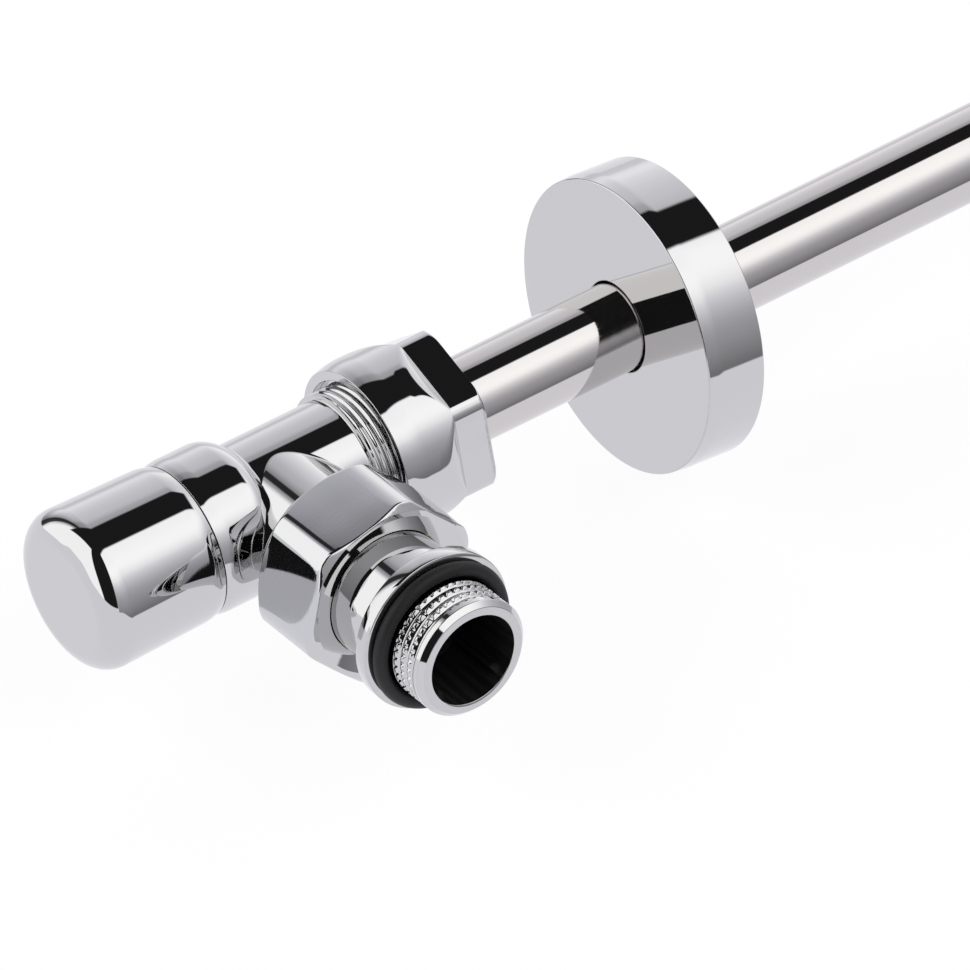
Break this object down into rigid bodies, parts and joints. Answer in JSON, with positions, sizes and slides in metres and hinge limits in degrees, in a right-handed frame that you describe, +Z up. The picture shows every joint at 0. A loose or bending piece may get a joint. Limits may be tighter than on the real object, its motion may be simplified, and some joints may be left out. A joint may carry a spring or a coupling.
{
  "type": "angle radiator valve",
  "caption": "Chromed angle radiator valve with round turn handle, union tail, compression nut, straight pipe and round wall rosette.",
  "frame": {"origin": "on the union tail's axis, where its external thread begins, just in front of the ring seal and 2.6 mm from the flange face", "axes": "-Y points out of the tail along its thread, towards the radiator; +X points along the pipe towards the wall and the handle is at -X; +Z is up"},
  "size_m": [0.2135, 0.0815, 0.052],
  "materials": {
    "chrome": "polished chrome plate over brass",
    "pipe_chrome": "polished chrome plated copper tube",
    "bare_brass": "machined brass",
    "black_rubber": "moulded rubber",
    "hub_plastic": "moulded plastic",
    "spring_steel": "drawn spring steel",
    "white_plastic": "plain low-friction plastic"
  },
  "bodies": {
    "valve": {"valve_body": "chrome", "headwork": "bare_brass", "headwork_seal": "black_rubber", "gland_nut": "bare_brass", "tailpiece": "chrome", "tail_cone_seal": "black_rubber", "flange_seal": "black_rubber", "union_snap_ring": "spring_steel", "olive": "bare_brass", "pipe_seal": "black_rubber", "pipe_sleeve": "bare_brass", "pipe": "pipe_chrome"},
    "handle": {"handle_cap": "chrome", "handle_hub": "hub_plastic", "handle_clip": "spring_steel"},
    "spindle": {"spindle": "bare_brass", "spindle_seal_1": "black_rubber", "spindle_seal_2": "black_rubber", "valve_disc": "bare_brass", "disc_washer": "black_rubber", "disc_screw": "spring_steel"},
    "union_slide": {"union_slide_ring": "bare_brass"},
    "union_nut": {"union_nut": "chrome"},
    "thrust": {"thrust_ring": "white_plastic"},
    "compression_nut": {"compression_nut": "chrome"},
    "grommet": {"rosette_grommet": "black_rubber"},
    "rosette": {"rosette": "chrome"}
  },
  "joints": [
    {"name": "handle_turn", "type": "hinge", "parent": "valve", "child": "handle", "pos_m": [-0.03, 0.0486, 0], "axis": [1, 0, 0], "range_deg": [0, 720]},
    {"name": "spindle_advance", "type": "slide", "parent": "handle", "child": "spindle", "axis": [1, 0, 0], "range_m": [0, 0.003]},
    {"name": "union_advance", "type": "slide", "parent": "valve", "child": "union_slide", "axis": [0, -1, 0], "range_m": [0, 0.00816]},
    {"name": "union_turn", "type": "hinge", "parent": "union_slide", "child": "union_nut", "pos_m": [0, 0.0226, 0], "axis": [0, -1, 0], "range_deg": [0, 1620]},
    {"name": "compression_advance", "type": "slide", "parent": "valve", "child": "thrust", "axis": [1, 0, 0], "range_m": [0, 0.006]},
    {"name": "compression_turn", "type": "hinge", "parent": "thrust", "child": "compression_nut", "pos_m": [0.026, 0.0486, 0], "axis": [1, 0, 0], "range_deg": [0, 1440]},
    {"name": "rosette_slide", "type": "slide", "parent": "valve", "child": "grommet", "axis": [1, 0, 0], "range_m": [-0.024, 0.064]},
    {"name": "rosette_turn", "type": "hinge", "parent": "grommet", "child": "rosette", "pos_m": [0.0697, 0.0486, 0], "axis": [1, 0, 0], "continuous": true}
  ],
  "couplings": [
    {"joint": "spindle_advance", "follows": "handle_turn", "m_per_rad": 0.00023873},
    {"joint": "union_advance", "follows": "union_turn", "m_per_rad": 0.00028871},
    {"joint": "compression_advance", "follows": "compression_turn", "m_per_rad": 0.00023873}
  ]
}
